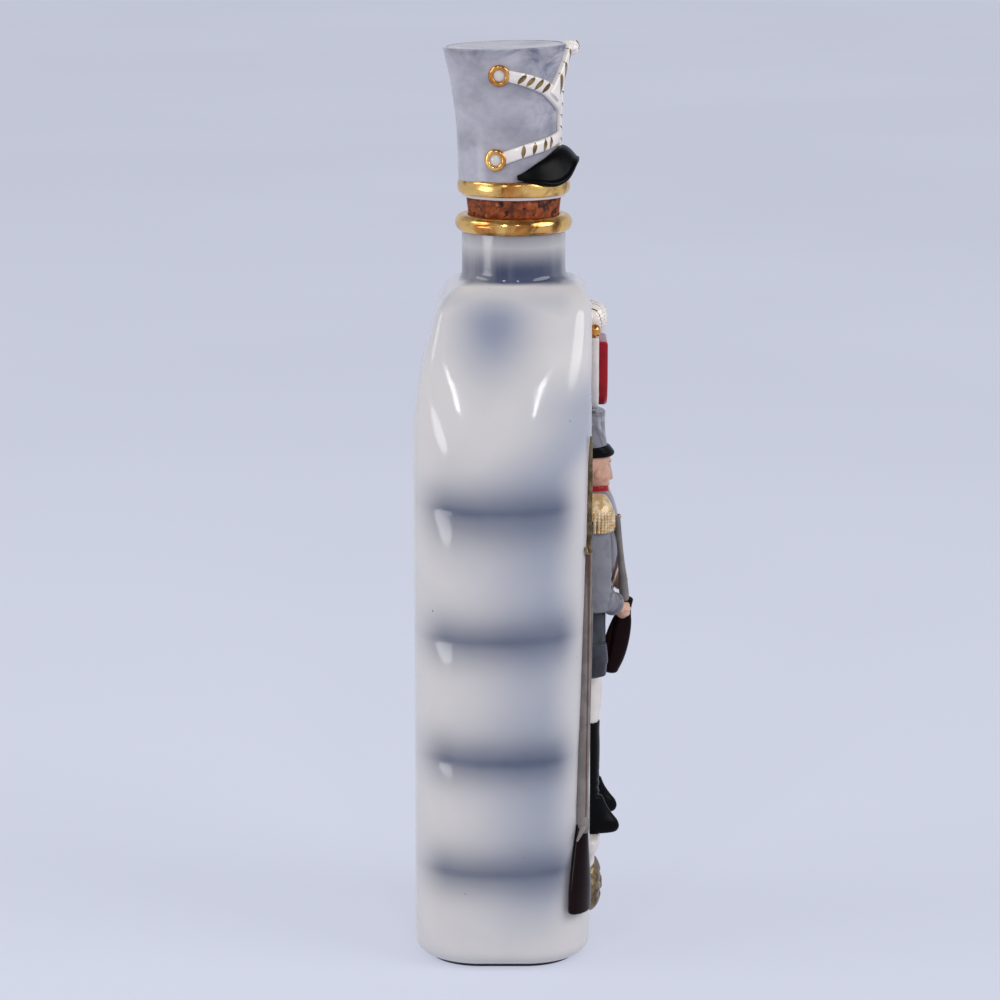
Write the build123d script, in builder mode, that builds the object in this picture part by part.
"""Figural decanter: a flat flask with a soldier in relief on its front and a tall cap for a stopper.

Millimetres. X is the width, the front faces -Y, Z is up. The origin is the middle of the
footprint, on the underside of the felt pad.
"""

from build123d import *
import math
import os

os.makedirs("parts", exist_ok=True)

# One overrun for every cut
overrun = 5.0

# Felt pad
felt_thickness = 1.2
felt_inset = 5.4

# Flask body
body_width = 92.0
body_depth = 59.0
body_height = 227.2
corner_radius = 22.0
foot_radius = 5.0
wall = 4.5
facet_foot_drop = 44.4
facet_top_half_width = 22.5
facet_blend = 14.0
back_knee_drop = 37.4
back_top_setback = 10.5
back_knee_blend = 30.0
shoulder_blend = 6.0
groove_depth = 2.2
groove_blend = 6.0
groove_low_height = 32.8
groove_high_drop = 23.0

# Neck and mouth
bore_mouth_radius = 15.3
bore_taper = 2.25
seat_length = 18.0
neck_wall = 2.05
neck_height = 21.0
neck_forward = 3.7
neck_flare = 2.0
bead_radius = 3.0
bead_reach = 2.2

# Cork
cork_clearance = 0.1
cork_shown = 5.8
cork_in_cap = 4.0

# Cap stopper
cap_wall = 2.7
cap_foot_height = 1.0
cap_foot_wall = 1.325
cap_ring_height = 5.1
cap_ring_bulge = 1.5
cap_height = 46.3
cap_flare = 2.15
cap_setback = 1.8
cap_lean_angle = 1.6
cap_dish_depth = 0.9
cap_dish_rim = 1.6
cord_width = 4.4
cord_relief = 1.2
rosette_radius = 3.65
rosette_relief = 1.9
plume_half_width = 3.4
plume_relief = 2.4
pompon_radius = 3.1
visor_reach = 4.6
visor_rise = 8.2

# Soldier and his stand
figure_foot_z = 38.6
relief_depth = 10.4
relief_sides = 6
oval_sides = 8
strap_relief = 0.8
strap_width = 3.4
belt_width = 4.2
button_radius = 0.95
button_relief = 1.3
plinth_half_width = 25.0
plinth_height = 10.6
plinth_depth = 6.2
boss_radius = 10.4
boss_depth = 6.0
boss_gap = 0.6

# Shield above the soldier
shield_height = 25.6
shield_half_width = 11.5
shield_base_gap = 0.6
shield_frame_depth = 3.9
shield_field_depth = 1.8
shield_rim = 1.6
shield_field_taper = 20.0
finial_radius = 2.2
crest_height = 14.6
crest_half_width = 9.0
crest_depth = 6.9
crest_drop = 5.0

# Muskets: a pair on the front corners and one in the soldier's hands
musket_foot_z = 19.4
musket_top_drop = 48.0
musket_foot_angle = 53.0
musket_top_angle = 72.0
musket_lift = 0.8
butt_half_width = 4.2
barrel_radius = 1.65
bayonet_radius = 0.95

# Sizes and places worked out from the sizes above
half_width = body_width / 2
half_depth = body_depth / 2
shoulder_z = felt_thickness + body_height
shield_z = shoulder_z - crest_drop - crest_height - shield_height
figure_height = shield_z - shield_base_gap - figure_foot_z
musket_length = shoulder_z - musket_top_drop - musket_foot_z
mouth_z = shoulder_z + neck_height
neck_radius = bore_mouth_radius + neck_wall
bore_throat_radius = bore_mouth_radius - bore_taper
bore_slope = bore_taper / seat_length
cork_top_radius = bore_mouth_radius + bore_slope * cork_shown - cork_clearance
cap_foot_radius = cork_top_radius + cap_foot_wall
cap_ring_radius = cap_foot_radius + cap_ring_bulge
cap_top_radius = cap_ring_radius + cap_flare
cap_foot_z = mouth_z + cork_shown
cap_ring_z = cap_foot_z + cap_foot_height
cap_wall_z = cap_ring_z + cap_ring_height / 2
bead_centre_radius = neck_radius + bead_reach - bead_radius
neck_axis = Axis((0, -neck_forward, 0), (0, 0, 1))
cap_lean = math.radians(cap_lean_angle)
cap_foot = (0, cap_setback - neck_forward, cap_wall_z)
cap_axis = Axis(cap_foot, (0, math.sin(cap_lean), math.cos(cap_lean)))
cap_plane = Plane(origin=cap_foot, x_dir=(1, 0, 0), z_dir=(0, -math.cos(cap_lean), math.sin(cap_lean)))
cap_level = Plane(origin=cap_foot, x_dir=(1, 0, 0), z_dir=(0, math.sin(cap_lean), math.cos(cap_lean)))
cap_top_y = cap_setback - neck_forward + cap_height * math.tan(cap_lean)
neck_plane = Plane(origin=(0, -neck_forward, 0), x_dir=(1, 0, 0), z_dir=(0, -1, 0))
front_face = Plane.XZ.offset(half_depth)

# Outlines and places as shares of the sizes that they follow
groove_shares = (0, 0.315, 0.655, 1)
cap_shares = [(0.808, 0), (0.80, 0.2), (0.808, 0.4), (0.84, 0.6), (0.90, 0.8), (1, 1)]
coat_shares = [
    (0.545, 0, 0.080, 0.72), (0.60, 0, 0.086, 0.82), (0.68, 0, 0.104, 0.95),
    (0.73, 0, 0.115, 1.0), (0.775, 0, 0.112, 0.78), (0.80, 0, 0.050, 0.60),
]
leg_shares = [(0.545, 0.036, 0.045, 0.68), (0.47, 0.045, 0.045, 0.64), (0.36, 0.058, 0.038, 0.50),
              (0.265, 0.066, 0.032, 0.42)]
boot_shares = [(0.265, 0.066, 0.036, 0.46), (0.20, 0.071, 0.037, 0.48), (0.10, 0.080, 0.028, 0.40),
               (0.045, 0.084, 0.026, 0.42), (0, 0.084, 0.027, 0.44)]
tail_shares = [(0.545, 0.090, 0.022, 0.46), (0.47, 0.104, 0.030, 0.48), (0.385, 0.110, 0.026, 0.40)]
head_shares = [(0.812, 0, 0.016, 0.46), (0.828, 0, 0.031, 0.62), (0.85, 0, 0.040, 0.68),
               (0.88, 0, 0.044, 0.69), (0.91, 0, 0.042, 0.62)]
shako_shares = [(0.91, 0, 0.050, 0.62), (0.95, 0, 0.049, 0.60), (1.0, 0, 0.057, 0.68)]
collar_shares = [(0.792, 0, 0.042, 0.70), (0.822, 0, 0.034, 0.60)]
epaulette_shares = [(0.71, 0.121, 0.035, 0.70), (0.745, 0.119, 0.036, 0.77), (0.775, 0.113, 0.033, 0.74),
                    (0.795, 0.104, 0.024, 0.56)]
sleeve_shares = [(0.555, 0.130, 0.026, 0.66), (0.62, 0.129, 0.030, 0.68), (0.74, 0.118, 0.029, 0.62)]
toe_place_share = 0.088
toe_shares = [(0, 0.030, 0.98), (0.030, 0.026, 0.94), (0.055, 0.018, 0.55)]
nose_shares = [(0.848, 0.010, 0.74), (0.853, 0.010, 0.80), (0.875, 0.005, 0.69)]
peak_shares = [(0.896, 0.050, 0.84), (0.908, 0.051, 0.72), (0.918, 0.0505, 0.62)]
button_shares = (0.60, 0.635, 0.67, 0.745)
held_stock_shares = [(0, 0.030, 0.019), (0.45, 0.024, 0.016), (0.86, 0.013, 0.012), (1.15, 0.014, 0.012)]
boss_shares = [(1, 0), (1, 0.22), (0.86, 0.52), (0.6, 0.72), (0.46, 0.6), (0.3, 0.88), (0.12, 1), (0, 1)]
crest_shares = [(0, 0.55, 0.75), (0.35, 0.72, 1.0), (0.7, 0.62, 0.92), (1, 0.25, 0.55)]
stock_shares = [(0, 1.0, 0.62), (0.06, 1.0, 0.60), (0.125, 0.72, 0.55), (0.17, 0.50, 0.50),
                (0.24, 0.52, 0.55), (0.30, 0.46, 0.46)]
lock_shares = [(0.17, 0.62, 0.60), (0.215, 0.80, 0.66)]
socket_share = 0.75


def write(piece, name):
    """Label a finished piece and write its file."""
    piece.part.label = name
    export_step(piece.part, f"parts/{name}.step")


def plan_section(inset):
    """The flask from above: flat front, back and sides joined by round corners."""
    RectangleRounded(body_width - 2 * inset, body_depth - 2 * inset, corner_radius - inset)


def groove_heights():
    """Heights of the grooves on the narrow sides, between the lowest and the one below the facet."""
    low_z = felt_thickness + groove_low_height
    high_z = shoulder_z - facet_foot_drop - groove_high_drop
    return [low_z + share * (high_z - low_z) for share in groove_shares]


def facet_line(inset):
    """The sloping shoulder facet from the front: its foot's height and its top's half width."""
    run = half_width - facet_top_half_width
    slope = math.atan2(facet_foot_drop, run)
    reach = half_width * math.sin(slope) + (shoulder_z - facet_foot_drop) * math.cos(slope) - inset
    foot_z = (reach - (half_width - inset) * math.sin(slope)) / math.cos(slope)
    top_x = (reach - (shoulder_z - inset) * math.cos(slope)) / math.sin(slope)
    return foot_z, top_x


def front_outline(inset):
    """The flask from the front: cushioned sides between grooves when inset is 0, plain inside."""
    foot_z, top_x = facet_line(inset)
    base_z = felt_thickness + inset
    side_x = half_width - inset
    with BuildLine() as outline:
        for side in (-1, 1):
            Line((0, base_z), (side * side_x, base_z))
            if inset:
                Line((side * side_x, base_z), (side * side_x, foot_z))
            else:
                low = (side * side_x, base_z)
                for groove_z in groove_heights():
                    high = (side * (half_width - groove_depth), groove_z)
                    middle = (side * half_width, (low[1] + high[1]) / 2)
                    ThreePointArc(low, middle, high)
                    low = high
                middle_z = (low[1] + foot_z) / 2
                middle = (side * (half_width - groove_depth / 4), middle_z)
                ThreePointArc(low, middle, (side * side_x, foot_z))
            Line((side * side_x, foot_z), (side * top_x, shoulder_z - inset))
            Line((side * top_x, shoulder_z - inset), (0, shoulder_z - inset))
    make_face(outline.edges())


def side_outline(inset):
    """The flask from the side: upright front, upright back that leans in above the knee."""
    lean = math.atan2(back_top_setback, back_knee_drop)
    drop = inset * math.tan(lean / 2)
    knee_z = shoulder_z - back_knee_drop - drop
    back_y = half_depth - inset
    top_z = shoulder_z - inset
    top_y = back_y - (top_z - knee_z) * math.tan(lean)
    with BuildLine() as outline:
        Polyline(
            (-back_y, felt_thickness + inset), (back_y, felt_thickness + inset), (back_y, knee_z),
            (top_y, top_z), (-back_y, top_z), close=True,
        )
    make_face(outline.edges())


def flask_form(inset):
    """The closed form of the flask below its neck, grown inwards by inset."""
    with BuildPart() as form:
        with BuildSketch(Plane.XY.offset(felt_thickness + inset)):
            plan_section(inset)
        extrude(amount=body_height - 2 * inset)
        if inset:
            chamfer(form.edges().group_by(Axis.Z)[0], length=foot_radius - inset / 2)
        else:
            fillet(form.edges().group_by(Axis.Z)[0], radius=foot_radius)
        with BuildSketch(Plane.XZ) as front:
            front_outline(inset)
            fillet(front.vertices().group_by(Axis.Y)[-2], radius=facet_blend)
            fillet(front.vertices().group_by(Axis.Y)[-1], radius=shoulder_blend - inset / 2)
            if not inset:
                for groove_z in groove_heights():
                    notch = [v for v in front.vertices() if abs(v.Y - groove_z) < groove_depth]
                    fillet(notch, radius=groove_blend)
        extrude(amount=body_depth, both=True, mode=Mode.INTERSECT)
        with BuildSketch(Plane.YZ) as side:
            side_outline(inset)
            fillet(side.vertices().group_by(Axis.Y)[-2], radius=back_knee_blend)
            fillet(side.vertices().group_by(Axis.Y)[-1], radius=shoulder_blend - inset / 2)
        extrude(amount=body_width, both=True, mode=Mode.INTERSECT)
    return form.part


outer_form = flask_form(0)
inner_form = flask_form(wall)

# Felt pad
with BuildPart() as felt_pad:
    with BuildSketch():
        plan_section(felt_inset)
    extrude(amount=felt_thickness)
write(felt_pad, "felt_pad")

# Flask body with its neck, mouth bead, bore and cavity
with BuildPart() as flask_body:
    add(outer_form)
    with BuildSketch(neck_plane):
        bead_z = mouth_z - bead_radius
        bead_meets = math.sqrt(bead_radius**2 - (neck_radius - bead_centre_radius) ** 2)
        with BuildLine():
            flare_foot = (neck_radius + neck_flare, shoulder_z)
            flare_top = (neck_radius, shoulder_z + neck_flare)
            bead_low = (neck_radius, bead_z - bead_meets)
            Line((0, shoulder_z - neck_flare), (neck_radius - neck_flare, shoulder_z - neck_flare))
            Line((neck_radius - neck_flare, shoulder_z - neck_flare), flare_foot)
            Line(flare_foot, flare_top)
            Line(flare_top, bead_low)
            ThreePointArc(bead_low, (neck_radius + bead_reach, bead_z), (bead_centre_radius, mouth_z))
            Line((bead_centre_radius, mouth_z), (0, mouth_z))
            Line((0, mouth_z), (0, shoulder_z - neck_flare))
        make_face()
    revolve(axis=neck_axis)
    add(inner_form, mode=Mode.SUBTRACT)
    with BuildSketch(neck_plane):
        with BuildLine():
            Polyline(
                (0, shoulder_z - wall - overrun), (bore_throat_radius, shoulder_z - wall - overrun),
                (bore_throat_radius, mouth_z - seat_length),
                (bore_mouth_radius + bore_slope * overrun, mouth_z + overrun), (0, mouth_z + overrun),
                close=True,
            )
        make_face()
    revolve(axis=neck_axis, mode=Mode.SUBTRACT)
write(flask_body, "flask_body")
print("capacity ml", round(inner_form.volume / 1000))

# Cork: a tapered plug that wedges in the bore and is glued up into the cap
with BuildPart() as cork:
    with BuildSketch(neck_plane):
        with BuildLine():
            Polyline(
                (0, mouth_z - seat_length), (bore_throat_radius - cork_clearance, mouth_z - seat_length),
                (cork_top_radius, cap_foot_z), (cork_top_radius, cap_foot_z + cork_in_cap),
                (0, cap_foot_z + cork_in_cap), close=True,
            )
        make_face()
    revolve(axis=neck_axis)
write(cork, "cork")


def cap_form(grow):
    """The flared wall of the cap, turned about its leaning axis and grown outwards by grow."""
    with BuildPart() as form:
        with BuildSketch(cap_plane):
            wall_line = [
                (radius * cap_top_radius + grow, height * cap_height) for radius, height in cap_shares
            ]
            with BuildLine() as outline:
                Polyline((0, 0), *wall_line, (0, cap_height), close=True)
            make_face(outline.edges())
        revolve(axis=cap_axis)
    return form.part


cap_solid = cap_form(0)

# The cap's foot and ring, turned about the neck's axis
with BuildPart() as cap_ring:
    with BuildSketch(neck_plane):
        ring_high_z = cap_ring_z + cap_ring_height
        with BuildLine():
            Polyline(
                (0, cap_foot_z), (cap_foot_radius, cap_foot_z), (cap_foot_radius, cap_ring_z),
                (cap_ring_radius, cap_ring_z + cap_ring_bulge),
                (cap_ring_radius, ring_high_z - cap_ring_bulge), (cap_foot_radius, ring_high_z),
                (0, ring_high_z), close=True,
            )
        make_face()
    revolve(axis=neck_axis)

# Cap stopper: one moulding with its foot, ring, wall and dished top
with BuildPart() as stopper_cap:
    add(cap_ring.part)
    add(cap_solid)
    with BuildSketch(cap_plane):
        hollow_low = cork_in_cap + cap_foot_z - cap_wall_z
        hollow_high = cap_height - cap_dish_depth - cap_wall
        with BuildLine():
            Polyline(
                (0, hollow_low), (cork_top_radius - cap_wall - cap_setback, hollow_low),
                (cap_top_radius - cap_wall - cap_dish_rim, hollow_high), (0, hollow_high), close=True,
            )
        make_face()
    revolve(axis=cap_axis, mode=Mode.SUBTRACT)
    with BuildSketch(cap_level.offset(cap_height - cap_dish_depth)):
        Circle(cap_top_radius - cap_dish_rim)
    extrude(amount=overrun, mode=Mode.SUBTRACT)
    with BuildSketch(Plane.XY.offset(cap_foot_z - overrun)):
        with Locations((0, -neck_forward)):
            Circle(cork_top_radius + cork_clearance)
    extrude(amount=cork_in_cap + overrun, mode=Mode.SUBTRACT)
write(stopper_cap, "stopper_cap")

# Cap visor: a sloping peak over the ring, its crescent given by an oval from above
visor_low_z = cap_foot_z + cap_ring_height / 2
visor_front = neck_forward + cap_ring_radius + visor_reach - cap_ring_bulge
with BuildPart() as cap_visor:
    with BuildSketch(Plane.YZ):
        with BuildLine():
            back = (-neck_forward, visor_low_z + cap_ring_bulge)
            top = (-neck_forward - cap_ring_radius * 0.8, cap_wall_z + visor_rise + cap_ring_bulge)
            brow = (-visor_front + visor_reach, cap_wall_z + visor_rise)
            tip = (-visor_front, cap_wall_z + visor_rise / 2)
            lip = (-visor_front + visor_reach, visor_low_z)
            Line(back, top)
            Line(top, brow)
            ThreePointArc(brow, (-visor_front + visor_reach / 4, cap_wall_z + visor_rise * 0.8), tip)
            Line(tip, lip)
            Line(lip, back)
        make_face()
    extrude(amount=cap_ring_radius + overrun, both=True)
    with BuildSketch(Plane.XY.offset(cap_foot_z)):
        with Locations((0, cap_ring_radius + cap_ring_bulge / 2 - visor_front)):
            Circle(cap_ring_radius + cap_ring_bulge / 2)
    extrude(amount=cap_height, mode=Mode.INTERSECT)
    add(cap_solid, mode=Mode.SUBTRACT)
    add(cap_ring.part, mode=Mode.SUBTRACT)
write(cap_visor, "cap_visor")

# Places on the cap's side: rosette centres and where the cords meet at the front
upper_rosette = (cap_top_y + rosette_radius / 2, cap_wall_z + cap_height * 0.8)
lower_rosette = (cap_top_y + rosette_radius * 0.8, cap_wall_z + cap_height * 0.2)
upper_meet = (-cap_top_radius * 0.94, cap_wall_z + cap_height * 0.53)
lower_meet = (-cap_top_radius * 0.92, cap_wall_z + cap_height * 0.27)

with BuildPart() as rosette_posts:
    with BuildSketch(Plane.YZ):
        with Locations(upper_rosette, lower_rosette):
            Circle(rosette_radius)
    extrude(amount=cap_top_radius + overrun, both=True)

# Cap rosettes: four discs that follow the wall
with BuildPart() as cap_rosettes:
    add(cap_form(rosette_relief))
    add(rosette_posts.part, mode=Mode.INTERSECT)
    add(cap_solid, mode=Mode.SUBTRACT)
write(cap_rosettes, "cap_rosettes")

# Pompon at the rim, a short turned bud against the wall
pompon_y = cap_top_y - cap_top_radius
pompon_z = cap_wall_z + cap_height - pompon_radius / 2
with BuildPart() as cap_pompon:
    with BuildSketch(Plane(origin=(0, pompon_y + cap_flare, pompon_z), x_dir=(1, 0, 0), z_dir=(0, -1, 0))):
        Circle(pompon_radius)
    extrude(amount=cap_flare + pompon_radius)
    chamfer(cap_pompon.edges().group_by(Axis.Y)[0], length=pompon_radius / 2)
    add(cap_solid, mode=Mode.SUBTRACT)
write(cap_pompon, "cap_pompon")

# Cap plume: an upright strip on the front of the wall, from the visor up to the pompon
plume_low_z = cap_wall_z + visor_rise
plume_high_z = pompon_z - pompon_radius * 0.4
with BuildPart() as plume_strip:
    with BuildSketch(Plane.XZ):
        with Locations((0, (plume_low_z + plume_high_z) / 2)):
            Rectangle(2 * plume_half_width, plume_high_z - plume_low_z)
    extrude(amount=cap_top_radius + neck_forward + overrun)
with BuildPart() as cap_plume:
    add(cap_form(plume_relief))
    add(plume_strip.part, mode=Mode.INTERSECT)
    for taken in (cap_solid, cap_visor.part, cap_pompon.part):
        add(taken, mode=Mode.SUBTRACT)
write(cap_plume, "cap_plume")

# Cap cords: two on each side, from the rosettes to the front
with BuildPart() as cap_cords:
    with BuildSketch(Plane.YZ):
        for start, end in ((upper_rosette, upper_meet), (lower_rosette, lower_meet)):
            with BuildLine(mode=Mode.PRIVATE) as run:
                sag = ((start[0] + end[0]) / 2, (start[1] + end[1]) / 2 + cord_width / 3)
                ThreePointArc(start, sag, end)
            SlotArc(arc=run.edges()[0], height=cord_width)
    extrude(amount=cap_top_radius + overrun, both=True)
    add(cap_form(cord_relief), mode=Mode.INTERSECT)
    for taken in (cap_solid, rosette_posts.part, plume_strip.part, cap_visor.part):
        add(taken, mode=Mode.SUBTRACT)
write(cap_cords, "cap_cords")


def figure_z(share):
    """Height above the table of a share of the soldier's height."""
    return figure_foot_z + share * figure_height


def half_round(centre_x, spread, depth):
    """A half oval on the front face with its curve cut into flats, as a modeller's knife leaves it."""
    corners = []
    for step in range(relief_sides + 1):
        angle = math.pi * step / relief_sides
        corners.append((centre_x + spread * math.cos(angle), -half_depth - depth * math.sin(angle)))
    with BuildLine() as outline:
        Polyline(*corners, close=True)
    make_face(outline.edges())


def oval(across, deep):
    """A whole oval in the sketch's own plane, cut into flats."""
    corners = []
    for step in range(oval_sides):
        angle = 2 * math.pi * (step + 0.5) / oval_sides
        corners.append((across * math.cos(angle), deep * math.sin(angle)))
    with BuildLine() as outline:
        Polyline(*corners, close=True)
    make_face(outline.edges())


def relief(shares, side=0, grow=0):
    """A form in relief on the front face, lofted through half ovals of rising height.

    Each row of shares is height, sideways place and half width as shares of the soldier's
    height, and depth as a share of the relief's depth. side puts it left or right.
    """
    with BuildPart() as form:
        for height, place, spread, depth in shares:
            with BuildSketch(Plane.XY.offset(figure_z(height))):
                spread_now = spread * figure_height + grow
                half_round(side * place * figure_height, spread_now, depth * relief_depth + grow)
        loft(ruled=True)
    return form.part


def slab(outline_width, low_z, high_z):
    """A cutter as wide as outline_width that reaches forward from the front face."""
    with BuildPart() as cutter:
        with BuildSketch(front_face):
            with Locations((0, (low_z + high_z) / 2)):
                Rectangle(outline_width, high_z - low_z)
        extrude(amount=2 * relief_depth)
    return cutter.part


coat_form = relief(coat_shares)
coat_low_z = figure_z(coat_shares[0][0])

# Plinth and gilt boss below the soldier
with BuildPart() as plinth:
    with BuildSketch(Plane.XY.offset(figure_foot_z - plinth_height)):
        half_round(0, plinth_half_width * 0.86, plinth_depth * 0.6)
    with BuildSketch(Plane.XY.offset(figure_foot_z - plinth_height / 3)):
        half_round(0, plinth_half_width, plinth_depth)
    with BuildSketch(Plane.XY.offset(figure_foot_z)):
        half_round(0, plinth_half_width * 0.95, plinth_depth * 0.95)
    loft(ruled=True)
    add(outer_form, mode=Mode.SUBTRACT)
write(plinth, "plinth")

boss_z = figure_foot_z - plinth_height - boss_gap - boss_radius
with BuildPart() as gilt_boss:
    with BuildSketch(Plane.XY.offset(boss_z)):
        with BuildLine():
            Polyline(
                (0, -half_depth),
                *((reach * boss_radius, -half_depth - depth * boss_depth) for reach, depth in boss_shares),
                close=True,
            )
        make_face()
    revolve(axis=Axis((0, 0, boss_z), (0, 1, 0)))
write(gilt_boss, "gilt_boss")

# Soldier: trousers, boots and coat tails
with BuildPart() as trousers:
    add(relief(leg_shares, -1))
    add(relief(leg_shares, 1))
write(trousers, "soldier_trousers")

for side, name in ((-1, "right_boot"), (1, "left_boot")):
    with BuildPart() as boot:
        add(relief(boot_shares, side))
        for height, spread, depth in toe_shares:
            with BuildSketch(Plane.XY.offset(figure_z(height))):
                toe_x = side * toe_place_share * figure_height
                half_round(toe_x, spread * figure_height, depth * relief_depth)
        loft(ruled=True)
    write(boot, name)

with BuildPart() as coat_tails:
    for side in (-1, 1):
        add(relief(tail_shares, side))
    add(trousers.part, mode=Mode.SUBTRACT)
write(coat_tails, "coat_tails")

with BuildPart() as coat:
    add(coat_form)
write(coat, "soldier_coat")

# Head with a plain nose, then the shako and its visor
with BuildPart() as head:
    add(relief(head_shares))
    for height, spread, depth in nose_shares:
        with BuildSketch(Plane.XY.offset(figure_z(height))):
            half_round(0, spread * figure_height, depth * relief_depth)
    loft(ruled=True)
write(head, "soldier_head")

with BuildPart() as shako:
    add(relief(shako_shares))
write(shako, "soldier_shako")

with BuildPart() as soldier_visor:
    for height, spread, depth in peak_shares:
        with BuildSketch(Plane.XY.offset(figure_z(height))):
            half_round(0, spread * figure_height, depth * relief_depth)
    loft(ruled=True)
    add(head.part, mode=Mode.SUBTRACT)
    add(shako.part, mode=Mode.SUBTRACT)
write(soldier_visor, "soldier_visor")

with BuildPart() as collar:
    add(relief(collar_shares))
    add(head.part, mode=Mode.SUBTRACT)
    add(coat_form, mode=Mode.SUBTRACT)
write(collar, "soldier_collar")

# Epaulettes, waist belt, crossed belts and buttons lie on the coat
with BuildPart() as epaulettes:
    for side in (-1, 1):
        add(relief(epaulette_shares, side))
    add(coat_form, mode=Mode.SUBTRACT)
write(epaulettes, "epaulettes")

belt_z = coat_low_z + belt_width / 3
with BuildPart() as waist_belt:
    add(relief(coat_shares, grow=strap_relief))
    add(slab(body_width, belt_z, belt_z + belt_width), mode=Mode.INTERSECT)
    add(coat_form, mode=Mode.SUBTRACT)
write(waist_belt, "waist_belt")

cross_low_z = belt_z + belt_width
cross_high_z = figure_z(0.79)
with BuildPart() as cross_cutter:
    with BuildSketch(front_face):
        for side in (-1, 1):
            with BuildLine():
                reach = 0.095 * figure_height
                Polyline(
                    (side * reach, cross_high_z), (side * (reach - 1.25 * strap_width), cross_high_z),
                    (-side * reach * 0.9, cross_low_z),
                    (-side * (reach * 0.9 - 1.25 * strap_width), cross_low_z), close=True,
                )
            make_face()
    extrude(amount=2 * relief_depth)
with BuildPart() as crossbelts:
    add(relief(coat_shares, grow=strap_relief))
    add(cross_cutter.part, mode=Mode.INTERSECT)
    for taken in (coat_form, collar.part, epaulettes.part, waist_belt.part, head.part):
        add(taken, mode=Mode.SUBTRACT)
write(crossbelts, "crossbelts")

with BuildPart() as coat_buttons:
    add(relief(coat_shares, grow=button_relief))
    with BuildSketch(front_face):
        for height in button_shares:
            with Locations((0, figure_z(height))):
                Circle(button_radius)
    extrude(amount=2 * relief_depth, mode=Mode.INTERSECT)
    for taken in (coat_form, crossbelts.part, waist_belt.part):
        add(taken, mode=Mode.SUBTRACT)
write(coat_buttons, "coat_buttons")

# Arms: an upper sleeve in relief and a forearm that comes forward to the musket
grip_z = figure_z(0.535)
grip_y = -half_depth - relief_depth * 1.08
hand_radius = 0.019 * figure_height


def limb(start, end, start_radius, end_radius):
    """A round tapering form between two points."""
    direction = Vector(*end) - Vector(*start)
    with BuildPart() as form:
        with BuildSketch(Plane(origin=start, z_dir=direction)):
            oval(start_radius, start_radius)
        with BuildSketch(Plane(origin=end, z_dir=direction)):
            oval(end_radius, end_radius)
        loft(ruled=True)
    return form.part


# The held musket: butt low in front of the right thigh, barrel back to the right shoulder
held_grip = (-0.045 * figure_height, grip_y - hand_radius / 3, grip_z)
held_butt = (-0.030 * figure_height, -half_depth - relief_depth * 0.62, figure_z(0.365))
held_muzzle = (-0.112 * figure_height, -half_depth - relief_depth * 0.86, figure_z(0.765))
held_barrel_radius = 0.0105 * figure_height

with BuildPart() as held_stock:
    held_direction = Vector(*held_grip) - Vector(*held_butt)
    for share, long_share, short_share in held_stock_shares:
        middle = Vector(*held_butt) + held_direction * share
        with BuildSketch(Plane(origin=middle, x_dir=(1, 0, 0), z_dir=held_direction)):
            oval(short_share * figure_height, long_share * figure_height)
    loft(ruled=True)
    for taken in (coat_form, trousers.part, waist_belt.part, crossbelts.part):
        add(taken, mode=Mode.SUBTRACT)
write(held_stock, "held_musket_stock")

with BuildPart() as held_barrel:
    add(limb(held_grip, held_muzzle, held_barrel_radius, held_barrel_radius * 0.9))
    for taken in (coat_form, waist_belt.part, crossbelts.part, epaulettes.part, held_stock.part,
                  coat_buttons.part):
        add(taken, mode=Mode.SUBTRACT)
write(held_barrel, "held_musket_barrel")

hands = {}
arm_ends = {
    -1: ("right", (-0.040 * figure_height, grip_y, grip_z), 0.575),
    1: ("left", (-0.030 * figure_height, grip_y + hand_radius / 3, figure_z(0.60)), 0.60),
}
for side, (label, grip, elbow_share) in arm_ends.items():
    elbow = (side * 0.126 * figure_height, -half_depth - relief_depth * 0.42, figure_z(elbow_share))
    reach = Vector(*grip) - Vector(*elbow)
    cuff = Vector(*elbow) + reach * 0.74
    with BuildPart() as hand:
        add(limb(tuple(cuff), grip, hand_radius * 0.8, hand_radius))
        for taken in (coat_form, held_stock.part, held_barrel.part, waist_belt.part, crossbelts.part,
                      coat_buttons.part):
            add(taken, mode=Mode.SUBTRACT)
        for other in hands.values():
            add(other.part, mode=Mode.SUBTRACT)
    hands[label] = hand
    write(hand, f"{label}_hand")
    with BuildPart() as arm:
        add(relief(sleeve_shares, side))
        add(limb(elbow, tuple(cuff), 0.029 * figure_height, 0.024 * figure_height))
        for taken in (coat_form, epaulettes.part, held_stock.part, held_barrel.part, waist_belt.part,
                      crossbelts.part, coat_tails.part, coat_buttons.part, trousers.part):
            add(taken, mode=Mode.SUBTRACT)
        for other in hands.values():
            add(other.part, mode=Mode.SUBTRACT)
        add(outer_form, mode=Mode.SUBTRACT)
    write(arm, f"{label}_arm")

# Cartridge box on the right hip
with BuildPart() as cartridge_box:
    with BuildSketch(front_face):
        with Locations((-0.118 * figure_height, figure_z(0.43))):
            RectangleRounded(0.050 * figure_height, 0.080 * figure_height, 0.008 * figure_height)
    extrude(amount=relief_depth * 0.56)
    add(coat_tails.part, mode=Mode.SUBTRACT)
    add(trousers.part, mode=Mode.SUBTRACT)
write(cartridge_box, "cartridge_box")

# Shield: frame, field, finials and crest
def shield_outline(inset):
    """Straight sides that run down to a point through two arcs."""
    low = (0, shield_z + inset)
    high_z = shield_z + shield_height - inset
    reach = shield_half_width - inset
    bend_z = shield_z + shield_height * 0.42
    belly_z = shield_z + shield_height * 0.16 + inset / 2
    with BuildLine() as outline:
        Polyline((-reach, bend_z), (-reach, high_z), (reach, high_z), (reach, bend_z))
        for side in (-1, 1):
            ThreePointArc((side * reach, bend_z), (side * reach * 0.72, belly_z), low)
    make_face(outline.edges())


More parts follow.
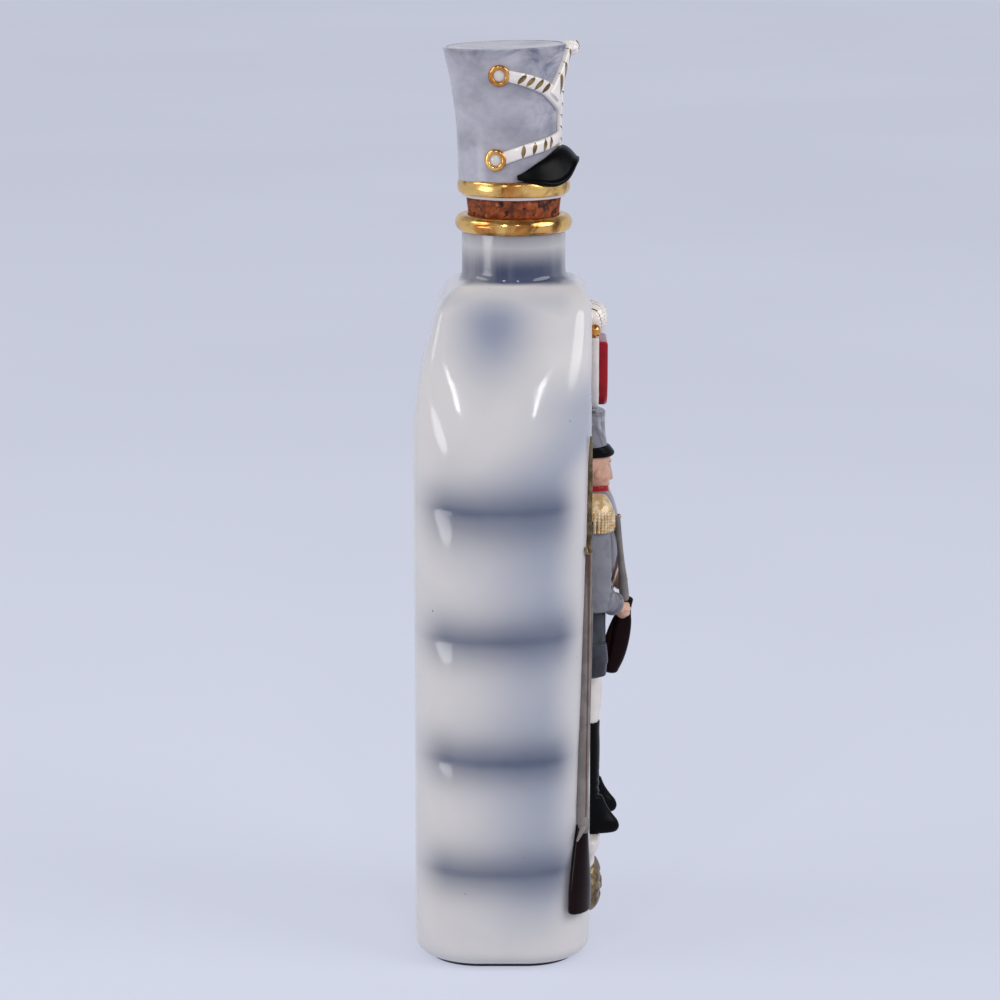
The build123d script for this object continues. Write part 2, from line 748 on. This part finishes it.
with BuildPart() as crest_frame:
    with BuildSketch(front_face):
        shield_outline(0)
    extrude(amount=shield_frame_depth)
write(crest_frame, "shield_frame")

with BuildPart() as crest_field:
    with BuildSketch(front_face.offset(shield_frame_depth)):
        shield_outline(shield_rim)
    extrude(amount=shield_field_depth, taper=shield_field_taper)
write(crest_field, "shield_field")

with BuildPart() as crest_finials:
    finial_z = shield_z + shield_height + finial_radius
    for side in (-1, 1):
        with BuildSketch(Plane.XY.offset(finial_z)):
            with BuildLine():
                hub = (side * (shield_half_width - finial_radius), -half_depth)
                crown = (hub[0], hub[1] - finial_radius * 1.5)
                low, high = (hub[0] - finial_radius, hub[1]), (hub[0] + finial_radius, hub[1])
                low_rise = (low[0], low[1] - finial_radius * 0.5)
                high_rise = (high[0], high[1] - finial_radius * 0.5)
                ThreePointArc(low_rise, crown, high_rise)
                Polyline(high_rise, high, low, low_rise)
            make_face()
        extrude(amount=finial_radius, both=True)
write(crest_finials, "shield_finials")

with BuildPart() as crest_plume:
    crest_z = shield_z + shield_height
    for height, spread, depth in crest_shares:
        with BuildSketch(Plane.XY.offset(crest_z + height * crest_height)):
            half_round(0, spread * crest_half_width, depth * crest_depth)
    loft(ruled=True)
    add(crest_finials.part, mode=Mode.SUBTRACT)
write(crest_plume, "shield_plume")


def corner_point(side, angle, height):
    """A point just outside a front corner of the flask, at an angle from the side's direction."""
    reach = corner_radius + musket_lift
    across = half_width - corner_radius + reach * math.cos(math.radians(angle))
    forward = half_depth - corner_radius + reach * math.sin(math.radians(angle))
    return Vector(side * across, -forward, height)


def along_musket(side, shares, size):
    """A form lofted through ovals along a corner musket, seated on the curve of the flask.

    Each row of shares is the place along the musket, then the oval's half width and half depth
    as shares of size. side is -1 for the right corner and 1 for the left.
    """
    foot = corner_point(side, musket_foot_angle, musket_foot_z)
    along = corner_point(side, musket_top_angle, musket_foot_z + musket_length) - foot
    middle_angle = math.radians((musket_foot_angle + musket_top_angle) / 2)
    out = Vector(side * math.cos(middle_angle), -math.sin(middle_angle), 0)
    lateral = out.cross(along).normalized()
    with BuildPart() as form:
        for share, width_share, depth_share in shares:
            with BuildSketch(Plane(origin=foot + along * share, x_dir=lateral, z_dir=along)):
                oval(size * width_share, size * depth_share)
        loft(ruled=True)
        add(outer_form, mode=Mode.SUBTRACT)
    return form.part


# A musket stands against each front corner: stock, barrel, bayonet and lock
barrel_shares = [(stock_shares[-1][0], 1, 1), (socket_share, 0.9, 0.9)]
bayonet_shares = [(socket_share, 1, 1), (1, 0.5, 0.5)]
for side, label in ((-1, "right"), (1, "left")):
    with BuildPart() as stock:
        add(along_musket(side, stock_shares, butt_half_width))
    write(stock, f"{label}_musket_stock")
    with BuildPart() as barrel:
        add(along_musket(side, barrel_shares, barrel_radius))
    write(barrel, f"{label}_musket_barrel")
    with BuildPart() as bayonet:
        add(along_musket(side, bayonet_shares, bayonet_radius))
    write(bayonet, f"{label}_musket_bayonet")
    with BuildPart() as lock:
        add(along_musket(side, lock_shares, butt_half_width))
        add(stock.part, mode=Mode.SUBTRACT)
    write(lock, f"{label}_musket_lock")
